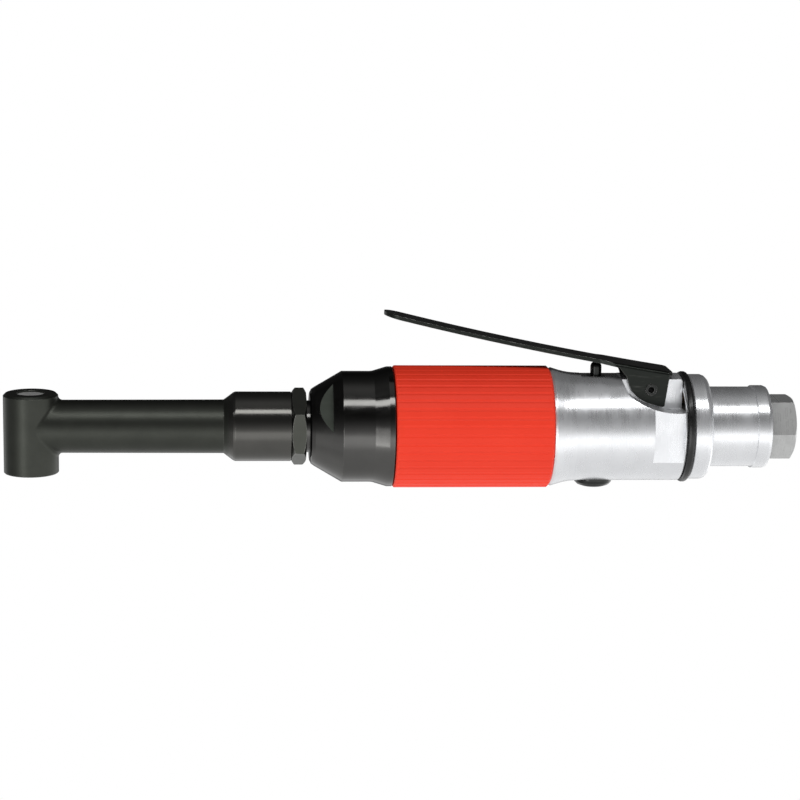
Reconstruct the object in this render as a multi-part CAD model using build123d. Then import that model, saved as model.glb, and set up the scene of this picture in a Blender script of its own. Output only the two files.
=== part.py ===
from build123d import *
import os
from math import acos, atan, cos, pi, radians, sin, sqrt, tan

# Right-angle air drill with a lever throttle. Millimetres, +Z up.
# The origin is the mouth of the output spindle's thread, on the head's axis.
# +X runs along the tool to the air inlet, and the lever is on the +Z side.

# Tool axis
AXIS_Z = 14.4                 # height of the tool axis over the spindle's mouth
RUNNING = 0.05                # radial clearance of a shaft in its bore

# Angle head
HEAD_R = 8.4
HEAD_BOTTOM_Z = 0.0
HEAD_TOP_Z = 24.8
HEAD_CHAMFER = 0.7
HEAD_BLEND_R = 1.4              # fillet where the neck meets the head
NECK_FRONT_R = 8.15
NECK_REAR_R = 8.3
NECK_END_X = 59.0
COLLAR_R = 10.78
COLLAR_X = 62.3
COLLAR_END_X = 79.9
NECK_BORE_R = 6.5
PINION_POCKET_R = 6.75
PINION_POCKET_END_X = 8.0
GEAR_POCKET_R = 6.8
TOP_BUSH_R = 4.35
TOP_RECESS = 0.5
NOSE_THREAD_R = 8.05
NOSE_THREAD_X = 68.0

# Output spindle
SPINDLE_R = 4.0
SPINDLE_COLLAR_R = 4.9
SPINDLE_THREAD_R = 2.75       # wall of a 1/4-28 UNF thread
SPINDLE_THREAD_DEPTH = 7.4
SPINDLE_SHOULDER_Z = 8.6
JOURNAL_R = 2.2
JOURNAL_TOP_Z = 22.6
RETAINER_TOP_Z = 2.4
RETAINER_R = 7.2
RETAINER_BORE_R = 5.25

# Bevel gears, both the same size
BEVEL_TEETH = 14
BEVEL_OUTER = 5.4             # apex to the outer tooth plane
BEVEL_INNER = 3.2             # apex to the inner tooth plane
BEVEL_ADDENDUM = 4.6          # degrees over the pitch cone
BEVEL_DEDENDUM = 6.0          # degrees under the pitch cone
BEVEL_THINNING = 0.016        # radians taken off each tooth at the pitch cone
BEVEL_HUB_R = 4.5

# Pinion shaft
SHAFT_R = 3.0
PINION_HUB_END_X = 8.2
REAR_BUSH_X = 57.0
REAR_BUSH_END_X = 66.0
SHAFT_HEX_X = 71.5
SHAFT_END_X = 82.0
SHAFT_HEX_R = 2.8

# Jam nut between the head's collar and the gear housing
NUT_X = 80.0
NUT_END_X = 84.4
NUT_CORNER_R = 12.3

# Gear housing
HOUSING_X = 85.5
CONE_X = 87.0
CONE_R = 12.4
BARREL_X = 95.4
BARREL_R = 17.22
SKIRT_X = 104.0
SKIRT_END_X = 109.4
SKIRT_R = 18.65
HOUSING_END_X = 111.3
SPIGOT_BORE_R = 5.0
CARRIER_BEARING_X = 88.0
RING_BORE_R = 14.0
RING_BORE_X = 93.8
HOUSING_THREAD_R = 16.0
FLAT_DISTANCE = 13.1
FLAT_END_X = 92.4
FLAT_ANGLE = 35.7             # degrees of the flats' normal over the horizontal

# Planetary reduction
MODULE = 0.6
PRESSURE_ANGLE = radians(25.0)
SUN_TEETH = 12
PLANET_TEETH = 15
RING_TEETH = SUN_TEETH + 2 * PLANET_TEETH
PLANET_COUNT = 3
TOOTH_THINNING = 0.06         # taken off each tooth along the pitch circle
ADDENDUM = 0.85 * MODULE
DEDENDUM = 1.15 * MODULE
PLANET_ORBIT_R = MODULE * (SUN_TEETH + PLANET_TEETH) / 2
CARRIER_R = 11.6
CARRIER_PLATE_X = 94.2
CARRIER_PLATE_END_X = 96.4
PLANET_X = 96.8
PLANET_END_X = 102.8
PLANET_PIN_R = 1.25
RING_X = 96.6
MOTOR_X = 104.3

# Vane motor
MOTOR_BORE_R = 14.2
CYLINDER_X = 111.0
CYLINDER_END_X = 148.0
CYLINDER_BORE_R = 11.6
ECCENTRICITY = 1.2
ROTOR_R = 10.2
ROTOR_END_GAP = 0.3
VANE_COUNT = 5
VANE_THICKNESS = 1.6
VANE_SLOT_FLOOR_R = 4.9
FRONT_JOURNAL_R = 4.5
FRONT_BEARING_R = 8.5
FRONT_BEARING_X = 104.6
REAR_BEARING_X = 149.4
REAR_BEARING_R = 6.5
MOTOR_END_X = 154.6
MOTOR_FLOOR_X = 156.0
SUN_SHANK_R = 2.5
SUN_SHANK_END_X = 118.0
DOWEL_R = 1.0
DOWEL_OFFSET = 12.4
EXHAUST_R = 1.7
EXHAUST_ORBIT_R = 11.6
EXHAUST_ANGLES = (-25.0, -50.0, 205.0, 230.0)

# Handle, which is the motor's housing too
SLEEVE_X = 111.4
SLEEVE_END_X = 159.9
SLEEVE_R = 19.0
SLEEVE_RIBS = 44
SLEEVE_RIB_DEPTH = 0.15
HANDLE_R = 16.85
HANDLE_FLARE_X = 160.6
HANDLE_FLARE_R = 18.5
HANDLE_FLARE_END_X = 169.5
HANDLE_END_X = 201.3
SIDE_FLAT = 14.45
SIDE_FLAT_X = 191.1
SIDE_FLAT_END_X = 200.6
TOP_FLAT = 16.2
TOP_FLAT_X = 169.8
TOP_FLAT_END_X = 182.0
BOSS_HALF_WIDTH = 5.5

# Lever, its heights measured from the tool axis
PIVOT_X = 191.0
PIVOT_UP = 13.0
LEVER_PIN_R = 1.8
LEVER_PIN_BORE_R = 0.95
LEVER_TIP_X = 108.1
LEVER_TIP_UP = 36.5
LEVER_MID_X = 150.0
LEVER_MID_UP = 27.0
LEVER_REAR_X = 198.2
LEVER_REAR_UP = 18.25
LEVER_THICKNESS = 1.2
LEVER_HALF_WIDTH = 5.5
LEVER_BEND_R = 1.0
EAR_HALF_WIDTH = 7.6
EAR_X = 180.2

# Throttle valve, its heights measured from the tool axis
VALVE_X = 174.8
STEM_R = 1.75
STEM_TOP_UP = 20.75
VALVE_BORE_R = 5.0
VALVE_SEAT_UP = 0.5
VALVE_SLEEVE_TOP_UP = 9.5
POPPET_R = 3.9
POPPET_BOTTOM_UP = -2.0
POPPET_TOP_UP = -0.6
GUIDE_R = 2.9
GUIDE_TOP_UP = 16.3
GUIDE_BOTTOM_UP = 13.0
SPRING_R = 2.9
SPRING_WIRE_R = 0.4
SPRING_TURNS = 6
PLUG_SEAT_UP = -15.7
PLUG_R = 6.1
PLUG_BOTTOM_UP = -18.7
PLUG_TOP_UP = -10.5
SUPPLY_R = 4.0
SUPPLY_UP = -4.0
PORT_R = 2.4
PORT_UP = 6.0

# Exhaust cap and air inlet
SEAL_X = 201.5
SEAL_END_X = 203.6
SEAL_R = 17.35
FLANGE_X = 203.8
FLANGE_END_X = 209.8
FLANGE_R = 16.45
CAP_R = 12.53
RIM_X = 224.3
RIM_R = 12.98
CAP_END_X = 229.1
EXHAUST_PORTS = 16
EXHAUST_PORT_R = 0.9
EXHAUST_PORT_ORBIT_R = 13.65
INLET_SHANK_R = 7.4
INLET_SHANK_X = 197.0
INLET_HEX_R = 10.5
INLET_END_X = 237.2
INLET_THREAD_R = 5.7          # wall of a 1/4-18 NPT thread
INLET_THREAD_X = 223.2
INLET_PASSAGE_R = 4.2
SCREEN_R = 5.2
SCREEN_THICKNESS = 0.8

TOOL_AXIS = Axis((0, 0, AXIS_Z), (1, 0, 0))


def across(x):
    """Plane across the tool axis at x: its x is +Y and its y is +Z."""
    return Plane(origin=(x, 0, AXIS_Z), x_dir=(0, 1, 0), z_dir=(1, 0, 0))


def turned(*corners):
    """Solid turned about the tool axis from (x, radius) corners."""
    points = [(x, 0, AXIS_Z + radius) for x, radius in corners]
    return revolve(make_face(Polyline(*points, close=True)), TOOL_AXIS)


def upright(*corners, x=0.0, base=0.0):
    """Solid turned about a vertical axis at x from (radius, height) corners."""
    points = [(x + radius, 0, base + height) for radius, height in corners]
    axis = Axis((x, 0, 0), (0, 0, 1))
    return revolve(make_face(Polyline(*points, close=True)), axis)


def rod(x_start, x_end, radius, y=0.0, up=0.0):
    """Round bar along X, its centre at (y, up) from the tool axis."""
    section = across(x_start) * Pos(y, up, 0) * Circle(radius)
    return extrude(section, x_end - x_start)


def post(x, z_start, z_end, radius, y=0.0):
    """Round bar along Z."""
    section = Plane.XY.offset(z_start) * Pos(x, y, 0) * Circle(radius)
    return extrude(section, z_end - z_start)


def block(x_start, x_end, y_start, y_end, z_start, z_end):
    """Box between two corners."""
    size = (x_end - x_start, y_end - y_start, z_end - z_start)
    centre = ((x_start + x_end) / 2, (y_start + y_end) / 2, (z_start + z_end) / 2)
    return Pos(*centre) * Box(*size)


def flat_face(points):
    """Face inside a closed outline."""
    return make_face(Polyline(*points, close=True))


def polar(radius, degrees_up):
    """Offsets (y, z) of a point at an angle from +Y towards +Z."""
    angle = radians(degrees_up)
    return radius * cos(angle), radius * sin(angle)


def chamfered_hex(x_start, x_end, corner_r, turn, chamfer_x):
    """Hexagonal bar along X whose corners are turned off at one or both ends."""
    bar = extrude(across(x_start) * Rot(0, 0, turn) * RegularPolygon(corner_r, 6), x_end - x_start)
    flat_r = corner_r * cos(pi / 6)
    front_r, rear_r = [flat_r if end in chamfer_x else corner_r + 1 for end in ("front", "rear")]
    slope = (corner_r - flat_r) * 0.55
    envelope = turned(
        (x_start, 0), (x_start, front_r), (x_start + slope, corner_r + 0.01),
        (x_end - slope, corner_r + 0.01), (x_end, rear_r), (x_end, 0),
    )
    return bar & envelope


# Gears

def involute(angle):
    """Involute function of a pressure angle in radians."""
    return tan(angle) - angle


def tooth_outline(teeth, radii, half_angle, first_centre):
    """Closed outline of a gear from the half tooth angle at each radius."""
    points = []
    for tooth in range(teeth):
        centre = first_centre + 2 * pi * tooth / teeth
        rising = [(radius, centre - half_angle(radius)) for radius in radii]
        falling = [(radius, centre + half_angle(radius)) for radius in reversed(radii)]
        points += [(radius * cos(turn), radius * sin(turn)) for radius, turn in rising + falling]
    return make_face(Polyline(*points, close=True))


def spur_outline(teeth, root_r, tip_r, thinning, first_centre):
    """Outline of an involute spur gear, its first tooth at first_centre radians."""
    pitch_r = MODULE * teeth / 2
    base_r = pitch_r * cos(PRESSURE_ANGLE)
    pitch_half_angle = pi / (2 * teeth) - thinning / (2 * pitch_r)

    def half_angle(radius):
        contact = acos(min(1.0, base_r / radius))
        return pitch_half_angle + involute(PRESSURE_ANGLE) - involute(contact)

    start_r = max(base_r, root_r)
    flank = [start_r + (tip_r - start_r) * step / 4 for step in range(5)]
    radii = flank if start_r == root_r else [root_r] + flank
    return tooth_outline(teeth, radii, half_angle, first_centre)


def bevel_outline(distance, first_centre):
    """Outline of a bevel gear in the plane at a distance from its apex.

    The flanks are spherical involutes seen from the apex. The gears are alike,
    so the pitch cone is at 45 degrees.
    """
    pitch_cone = pi / 4
    base_cone = acos(sqrt(1 - (sin(pitch_cone) * cos(radians(20))) ** 2))

    def azimuth(cone):
        if cone <= base_cone:
            return 0.0
        roll = acos(cos(cone) / cos(base_cone)) / sin(base_cone)
        return roll - acos(tan(base_cone) / tan(cone))

    def half_angle(radius):
        cone = atan(radius / distance)
        return pi / (2 * BEVEL_TEETH) - BEVEL_THINNING + azimuth(pitch_cone) - azimuth(cone)

    root = pitch_cone - radians(BEVEL_DEDENDUM)
    tip = pitch_cone + radians(BEVEL_ADDENDUM)
    start = max(root, base_cone)
    flank = [start + (tip - start) * step / 4 for step in range(5)]
    cones = flank if start == root else [root] + flank
    radii = [distance * tan(cone) for cone in cones]
    return tooth_outline(BEVEL_TEETH, radii, half_angle, first_centre)


def bevel_teeth(apex_plane, first_centre):
    """Toothed cone from the inner to the outer tooth plane."""
    inner = apex_plane.offset(BEVEL_INNER) * bevel_outline(BEVEL_INNER, first_centre)
    outer = apex_plane.offset(BEVEL_OUTER) * bevel_outline(BEVEL_OUTER, first_centre)
    return loft([inner, outer], ruled=True)


# Rolling bearings

def ball_bearing(plane, bore_r, outer_r, width):
    """Outer race, inner race and balls of a bearing whose front face is on a plane."""
    span = outer_r - bore_r
    pitch_r = (outer_r + bore_r) / 2
    ball_r = 0.28 * span
    land = 0.6 * ball_r
    middle = Pos(0, 0, width / 2)
    track = middle * Torus(pitch_r, ball_r + RUNNING)
    outer_ring = extrude(Circle(outer_r) - Circle(pitch_r + land), width) - track
    inner_ring = extrude(Circle(pitch_r - land) - Circle(bore_r), width) - track
    count = int(2 * pi * pitch_r / (2.5 * ball_r))
    balls = [loc * Sphere(ball_r) for loc in PolarLocations(pitch_r, count)]
    place = plane.location
    return place * outer_ring, place * inner_ring, place * middle * Compound(children=balls)


# Angle head

def angle_head_housing():
    """Head barrel, neck and threaded collar in one piece."""
    barrel = upright(
        (0, HEAD_BOTTOM_Z), (HEAD_R - 0.25, HEAD_BOTTOM_Z),
        (HEAD_R, HEAD_BOTTOM_Z + 0.25), (HEAD_R, HEAD_TOP_Z - HEAD_CHAMFER),
        (HEAD_R - HEAD_CHAMFER, HEAD_TOP_Z), (0, HEAD_TOP_Z),
    )
    neck = turned(
        (0, 0), (0, NECK_FRONT_R), (NECK_END_X, NECK_REAR_R), (COLLAR_X - 0.4, COLLAR_R - 0.3),
        (COLLAR_X + 0.3, COLLAR_R), (COLLAR_END_X - 0.25, COLLAR_R),
        (COLLAR_END_X, COLLAR_R - 0.25), (COLLAR_END_X, 0),
    )
    body = barrel + neck
    body = fillet([edge for edge in body.edges() if is_head_seam(edge)], HEAD_BLEND_R)
    body -= rod(0, PINION_POCKET_END_X, PINION_POCKET_R)
    body -= rod(0, REAR_BUSH_END_X + 0.5, NECK_BORE_R)
    body -= rod(REAR_BUSH_END_X + 0.5, COLLAR_END_X, NOSE_THREAD_R)
    body -= post(0, HEAD_BOTTOM_Z, RETAINER_TOP_Z, RETAINER_R)
    body -= post(0, RETAINER_TOP_Z, RETAINER_TOP_Z + 4.0, 7.0)
    body -= post(0, RETAINER_TOP_Z + 4.0, AXIS_Z, GEAR_POCKET_R)
    body -= post(0, AXIS_Z, HEAD_TOP_Z, TOP_BUSH_R)
    return body


def is_head_seam(edge):
    """Whether an edge is one of the two curves where the neck meets the head."""
    box = edge.bounding_box()
    return box.min.X > 0 and box.max.X < HEAD_R + 1 and box.size.X > 1 and box.size.Z > HEAD_R


def spindle_top_bush():
    """Closed bush in the top of the head."""
    top = HEAD_TOP_Z - TOP_RECESS
    bottom = AXIS_Z + PINION_POCKET_R + 0.15
    cup = post(0, bottom, top, TOP_BUSH_R)
    return cup - post(0, bottom, JOURNAL_TOP_Z + 0.3, JOURNAL_R + RUNNING)


def spindle_retainer():
    """Threaded ring that holds the lower bearing, with two spanner holes."""
    ring = post(0, HEAD_BOTTOM_Z, RETAINER_TOP_Z, RETAINER_R)
    ring -= post(0, HEAD_BOTTOM_Z, RETAINER_TOP_Z, RETAINER_BORE_R)
    for side in (-1, 1):
        ring -= post(0, HEAD_BOTTOM_Z, HEAD_BOTTOM_Z + 1.2, 0.5, y=side * 6.25)
    return ring


def output_spindle():
    """Spindle with an internal thread at its mouth."""
    spindle = upright(
        (0, 0), (SPINDLE_COLLAR_R - 0.3, 0), (SPINDLE_COLLAR_R, 0.3),
        (SPINDLE_COLLAR_R, RETAINER_TOP_Z), (SPINDLE_R, RETAINER_TOP_Z),
        (SPINDLE_R, SPINDLE_SHOULDER_Z), (JOURNAL_R, SPINDLE_SHOULDER_Z),
        (JOURNAL_R, JOURNAL_TOP_Z), (0, JOURNAL_TOP_Z),
    )
    return spindle - post(0, 0, SPINDLE_THREAD_DEPTH, SPINDLE_THREAD_R)


def spindle_bevel_gear():
    """Bevel gear on the spindle, teeth up."""
    apex = Plane(origin=(0, 0, AXIS_Z), x_dir=(1, 0, 0), z_dir=(0, 0, -1))
    gear = bevel_teeth(apex, 0.0)
    gear += post(0, RETAINER_TOP_Z + 4.0, AXIS_Z - BEVEL_OUTER, BEVEL_HUB_R)
    gear -= post(0, 0, SPINDLE_SHOULDER_Z, SPINDLE_R)
    return gear - post(0, SPINDLE_SHOULDER_Z, AXIS_Z, JOURNAL_R)


def bevel_pinion():
    """Bevel pinion on the front of the shaft, a tooth space facing down."""
    gear = bevel_teeth(across(0), -pi / 2 + pi / BEVEL_TEETH)
    gear += rod(BEVEL_OUTER, PINION_HUB_END_X, BEVEL_HUB_R - 0.6)
    return gear - rod(BEVEL_INNER + 1.0, PINION_HUB_END_X, SHAFT_R - 0.8)


def pinion_shaft():
    """Shaft from the pinion to the hexagonal end in the carrier's socket."""
    shaft = rod(BEVEL_INNER + 1.0, PINION_HUB_END_X, SHAFT_R - 0.8)
    shaft += rod(PINION_HUB_END_X, SHAFT_HEX_X, SHAFT_R)
    hex_end = across(SHAFT_HEX_X) * RegularPolygon(SHAFT_HEX_R, 6)
    return shaft + extrude(hex_end, SHAFT_END_X - SHAFT_HEX_X)


def neck_bush():
    """Bronze bush under the rear of the pinion shaft."""
    bush = rod(REAR_BUSH_X, REAR_BUSH_END_X, NECK_BORE_R)
    return bush - rod(REAR_BUSH_X, REAR_BUSH_END_X, SHAFT_R + RUNNING)


def jam_nut():
    """Hexagonal nut that locks the angle head, one corner up."""
    nut = chamfered_hex(NUT_X, NUT_END_X, NUT_CORNER_R, 32.5, ("front", "rear"))
    return nut - rod(NUT_X, NUT_END_X, NOSE_THREAD_R)


# Gear housing and reduction

def gear_housing():
    """Nose with a threaded spigot, a bearing seat and a bore for the ring gear."""
    body = turned(
        (NOSE_THREAD_X, 0), (NOSE_THREAD_X, NOSE_THREAD_R - 0.5),
        (NOSE_THREAD_X + 0.5, NOSE_THREAD_R), (HOUSING_X, NOSE_THREAD_R),
        (HOUSING_X, CONE_R - 1.8), (HOUSING_X + 0.5, CONE_R - 0.8), (CONE_X, CONE_R - 0.1),
        (BARREL_X, BARREL_R), (SKIRT_X, BARREL_R), (SKIRT_X + 1.0, BARREL_R + 0.1),
        (SKIRT_END_X, SKIRT_R), (HOUSING_END_X - 0.4, SKIRT_R), (HOUSING_END_X, SKIRT_R - 0.4),
        (HOUSING_END_X, 0),
    )
    body -= rod(NOSE_THREAD_X, CARRIER_BEARING_X, SPIGOT_BORE_R)
    body -= rod(CARRIER_BEARING_X, CARRIER_BEARING_X + 5.0, 8.0)
    body -= rod(CARRIER_BEARING_X + 5.0, RING_BORE_X, 7.4)
    body -= rod(RING_BORE_X, MOTOR_X, RING_BORE_R)
    body -= rod(MOTOR_X, HOUSING_END_X, HOUSING_THREAD_R)
    for turn in (180 - FLAT_ANGLE, -FLAT_ANGLE):
        slab = Pos(FLAT_DISTANCE + 5, 0, (FLAT_END_X - HOUSING_X) / 2)
        body -= across(HOUSING_X) * Rot(0, 0, turn) * slab * Box(10, 30, FLAT_END_X - HOUSING_X)
    return body


def ring_gear():
    """Fixed internal gear, a tooth space facing each planet."""
    tip_r = MODULE * RING_TEETH / 2 - ADDENDUM
    root_r = MODULE * RING_TEETH / 2 + DEDENDUM
    spaces = spur_outline(RING_TEETH, tip_r, root_r, -TOOTH_THINNING, pi / 2)
    return extrude(across(RING_X) * (Circle(RING_BORE_R) - spaces), MOTOR_X - RING_X)


def planet_carrier():
    """Carrier plate with a hollow output shaft that drives the pinion shaft."""
    carrier = turned(
        (SHAFT_HEX_X + 0.5, 0), (SHAFT_HEX_X + 0.5, SPINDLE_R), (93.0, SPINDLE_R),
        (93.0, 5.0), (CARRIER_PLATE_X, 5.0), (CARRIER_PLATE_X, CARRIER_R),
        (CARRIER_PLATE_END_X, CARRIER_R), (CARRIER_PLATE_END_X, 0),
    )
    socket = across(SHAFT_HEX_X) * RegularPolygon(SHAFT_HEX_R, 6)
    carrier -= extrude(socket, SHAFT_END_X + 0.5 - SHAFT_HEX_X)
    for index in range(PLANET_COUNT):
        y, up = polar(PLANET_ORBIT_R, 90 + 360 * index / PLANET_COUNT)
        carrier -= rod(CARRIER_PLATE_X, CARRIER_PLATE_END_X, PLANET_PIN_R, y, up)
    return carrier


def planet_pins():
    """Three pins pressed into the carrier."""
    pins = []
    for index in range(PLANET_COUNT):
        y, up = polar(PLANET_ORBIT_R, 90 + 360 * index / PLANET_COUNT)
        pins.append(rod(CARRIER_PLATE_X, PLANET_END_X + 0.4, PLANET_PIN_R, y, up))
    return Compound(children=pins)


def planet_gear(index):
    """Planet gear, a tooth space facing the sun and a tooth facing the ring."""
    turn = 2 * pi * index / PLANET_COUNT
    pitch_r = MODULE * PLANET_TEETH / 2
    outline = spur_outline(
        PLANET_TEETH, pitch_r - DEDENDUM, pitch_r + ADDENDUM, TOOTH_THINNING, pi / 2 + turn
    )
    y, up = polar(PLANET_ORBIT_R, 90 + 360 * index / PLANET_COUNT)
    section = across(PLANET_X) * Pos(y, up, 0) * (outline - Circle(PLANET_PIN_R + RUNNING))
    return extrude(section, PLANET_END_X - PLANET_X)


def sun_pinion():
    """Sun gear with a shank pressed into the rotor."""
    pitch_r = MODULE * SUN_TEETH / 2
    outline = spur_outline(
        SUN_TEETH, pitch_r - DEDENDUM, pitch_r + ADDENDUM, TOOTH_THINNING, pi / 2
    )
    start_x = CARRIER_PLATE_END_X + 0.5
    gear = extrude(across(start_x) * outline, PLANET_END_X + 0.4 - start_x)
    return gear + rod(PLANET_END_X + 0.4, SUN_SHANK_END_X, SUN_SHANK_R)


# Vane motor

def exhaust_cuts(x_start, x_end, radius, orbit_r):
    """Round passages along X at the exhaust angles."""
    places = [polar(orbit_r, angle) for angle in EXHAUST_ANGLES]
    return [rod(x_start, x_end, radius, y, up) for y, up in places]


def dowel():
    """Pin that keeps the end plates and the cylinder in line."""
    return rod(MOTOR_X + 2, MOTOR_END_X - 2, DOWEL_R, 0, -DOWEL_OFFSET)


def front_end_plate():
    """Plate with the front rotor bearing's seat."""
    plate = rod(MOTOR_X, CYLINDER_X, MOTOR_BORE_R)
    plate -= rod(MOTOR_X, FRONT_BEARING_X + 5.0, FRONT_BEARING_R)
    plate -= rod(FRONT_BEARING_X + 5.0, CYLINDER_X, FRONT_JOURNAL_R + 0.5)
    return plate - dowel()


def rear_end_plate():
    """Plate with the rear rotor bearing's seat, air ports and exhaust notches."""
    plate = rod(CYLINDER_END_X, MOTOR_END_X, MOTOR_BORE_R)
    plate -= rod(CYLINDER_END_X, REAR_BEARING_X, SHAFT_R + 0.6)
    plate -= rod(REAR_BEARING_X, MOTOR_END_X, REAR_BEARING_R)
    for y in (-6.0, 6.0):
        plate -= rod(CYLINDER_END_X, MOTOR_END_X, 1.4, y, 8.2)
    for cut in exhaust_cuts(CYLINDER_END_X, MOTOR_END_X, EXHAUST_R, MOTOR_BORE_R):
        plate -= cut
    return plate - dowel()


def motor_cylinder():
    """Liner with an eccentric bore, exhaust ports and grooves to the rear."""
    liner = rod(CYLINDER_X, CYLINDER_END_X, MOTOR_BORE_R)
    liner -= rod(CYLINDER_X, CYLINDER_END_X, CYLINDER_BORE_R, 0, ECCENTRICITY)
    for cut in exhaust_cuts(CYLINDER_X + 4, CYLINDER_END_X, EXHAUST_R, MOTOR_BORE_R):
        liner -= cut
    port = Plane.XY * Cylinder(1.2, 6, rotation=(0, 90, 0))
    for angle in EXHAUST_ANGLES:
        for step in range(5):
            x = CYLINDER_X + 8 + 5.2 * step
            liner -= across(x) * Rot(0, 0, angle) * Pos(13, 0, 0) * port
    return liner - dowel()


def rotor():
    """Slotted rotor with a journal at each end."""
    front_x = CYLINDER_X + ROTOR_END_GAP
    rear_x = CYLINDER_END_X - ROTOR_END_GAP
    body = turned(
        (FRONT_BEARING_X, 0), (FRONT_BEARING_X, FRONT_JOURNAL_R), (front_x, FRONT_JOURNAL_R),
        (front_x, ROTOR_R), (rear_x, ROTOR_R), (rear_x, SHAFT_R),
        (REAR_BEARING_X + 5.0, SHAFT_R), (REAR_BEARING_X + 5.0, 0),
    )
    body -= rod(FRONT_BEARING_X, SUN_SHANK_END_X, SUN_SHANK_R)
    for slot in vane_bars(VANE_SLOT_FLOOR_R, ROTOR_R + 1, VANE_THICKNESS + 0.1):
        body -= slot
    return body


def vane_bars(inner_r, outer_r, thickness):
    """Flat bars in the rotor's slots."""
    length = CYLINDER_END_X - CYLINDER_X - 2 * ROTOR_END_GAP
    middle = across((CYLINDER_X + CYLINDER_END_X) / 2)
    offset = Pos((inner_r + outer_r) / 2, 0, 0)
    bar = Box(outer_r - inner_r, thickness, length)
    turns = [90 + 360 * index / VANE_COUNT for index in range(VANE_COUNT)]
    return [middle * Rot(0, 0, turn) * offset * bar for turn in turns]


def rotor_vanes():
    """Vanes, drawn in flush with the rotor."""
    return Compound(children=vane_bars(VANE_SLOT_FLOOR_R + 0.3, ROTOR_R - 0.1, VANE_THICKNESS))


def motor_washer():
    """Spring washer that clamps the motor stack."""
    return rod(MOTOR_END_X, MOTOR_FLOOR_X, 9.6) - rod(MOTOR_END_X, MOTOR_FLOOR_X, 7.2)


# Handle

def lever_pocket():
    """Side outline of the pockets beside the pivot boss, swept right across."""
    floor = ThreePointArc(
        (183.2, 0, AXIS_Z + 12.2), (190.0, 0, AXIS_Z + 8.35), (HANDLE_END_X, 0, AXIS_Z + 6.9)
    )
    walls = Polyline(
        (HANDLE_END_X, 0, AXIS_Z + 6.9), (HANDLE_END_X, 0, AXIS_Z + 20),
        (180.8, 0, AXIS_Z + 20), (183.2, 0, AXIS_Z + 12.2),
    )
    return extrude(make_face(floor + walls), 20, dir=(0, 1, 0), both=True)


def motor_housing():
    """Aluminium handle: motor bore in front, valve and air passages behind."""
    body = turned(
        (MOTOR_X, 0), (MOTOR_X, HOUSING_THREAD_R), (HOUSING_END_X + 0.3, HOUSING_THREAD_R),
        (HOUSING_END_X + 0.3, HANDLE_R), (SLEEVE_END_X + 0.1, HANDLE_R),
        (SLEEVE_END_X + 0.1, HANDLE_FLARE_R - 0.4), (HANDLE_FLARE_X + 0.2, HANDLE_FLARE_R),
        (161.6, 18.25), (163.2, 17.75), (165.0, 17.3), (167.0, 17.0),
        (HANDLE_FLARE_END_X, HANDLE_R),
        (HANDLE_END_X - 0.5, HANDLE_R), (HANDLE_END_X, HANDLE_R - 0.5), (HANDLE_END_X, 0),
    )
    body -= rod(MOTOR_X, MOTOR_FLOOR_X, MOTOR_BORE_R)
    body -= lever_pocket() - block(
        180, HANDLE_END_X, -BOSS_HALF_WIDTH, BOSS_HALF_WIDTH, AXIS_Z, AXIS_Z + 20
    )
    for side in (-1, 1):
        edges = sorted((side * SIDE_FLAT, side * 20))
        body -= block(SIDE_FLAT_X, SIDE_FLAT_END_X, *edges, AXIS_Z - 12, AXIS_Z + 12)
    body -= block(TOP_FLAT_X, TOP_FLAT_END_X, -8, 8, AXIS_Z + TOP_FLAT, AXIS_Z + 20)
    body -= post(VALVE_X, AXIS_Z - 20, AXIS_Z + PLUG_SEAT_UP, PLUG_R + 0.3)
    body -= post(VALVE_X, AXIS_Z - 17, AXIS_Z + VALVE_SLEEVE_TOP_UP, VALVE_BORE_R)
    body -= post(VALVE_X, AXIS_Z, AXIS_Z + GUIDE_BOTTOM_UP, STEM_R + 0.3)
    body -= post(VALVE_X, AXIS_Z + GUIDE_BOTTOM_UP, AXIS_Z + 20, GUIDE_R)
    body -= rod(VALVE_X, INLET_SHANK_X - 1, SUPPLY_R, 0, SUPPLY_UP)
    body -= rod(INLET_SHANK_X - 3, HANDLE_END_X, INLET_SHANK_R)
    body -= rod(MOTOR_FLOOR_X, VALVE_X, PORT_R, 0, PORT_UP)
    for cut in exhaust_cuts(MOTOR_FLOOR_X, HANDLE_END_X, EXHAUST_R, EXHAUST_ORBIT_R):
        body -= cut
    return body - lever_pin_blank(LEVER_PIN_R)


def grip_sleeve():
    """Ribbed sleeve pressed on the handle."""
    points = []
    for rib in range(SLEEVE_RIBS):
        for step, radius in ((0.0, SLEEVE_R), (0.55, SLEEVE_R), (0.7, SLEEVE_R - SLEEVE_RIB_DEPTH),
                             (0.85, SLEEVE_R - SLEEVE_RIB_DEPTH)):
            points.append(polar(radius, 360 * (rib + step) / SLEEVE_RIBS))
    section = make_face(Polyline(*points, close=True)) - Circle(HANDLE_R)
    sleeve = extrude(across(SLEEVE_X) * section, SLEEVE_END_X - SLEEVE_X)
    envelope = turned(
        (SLEEVE_X, 0), (SLEEVE_X, SLEEVE_R - 0.4), (SLEEVE_X + 0.4, SLEEVE_R),
        (SLEEVE_END_X - 0.6, SLEEVE_R), (SLEEVE_END_X, SLEEVE_R - 0.6), (SLEEVE_END_X, 0),
    )
    return sleeve & envelope


# Lever

def lever_pin_blank(radius):
    """Round bar through the pivot, between the outer faces of the ears."""
    section = Plane(origin=(PIVOT_X, -EAR_HALF_WIDTH - 0.3, AXIS_Z + PIVOT_UP), z_dir=(0, 1, 0))
    return extrude(section * Circle(radius), 2 * EAR_HALF_WIDTH + 0.6)


def lever_pin():
    """Hollow spring pin, pressed into the boss."""
    return lever_pin_blank(LEVER_PIN_R) - lever_pin_blank(LEVER_PIN_BORE_R)


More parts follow.
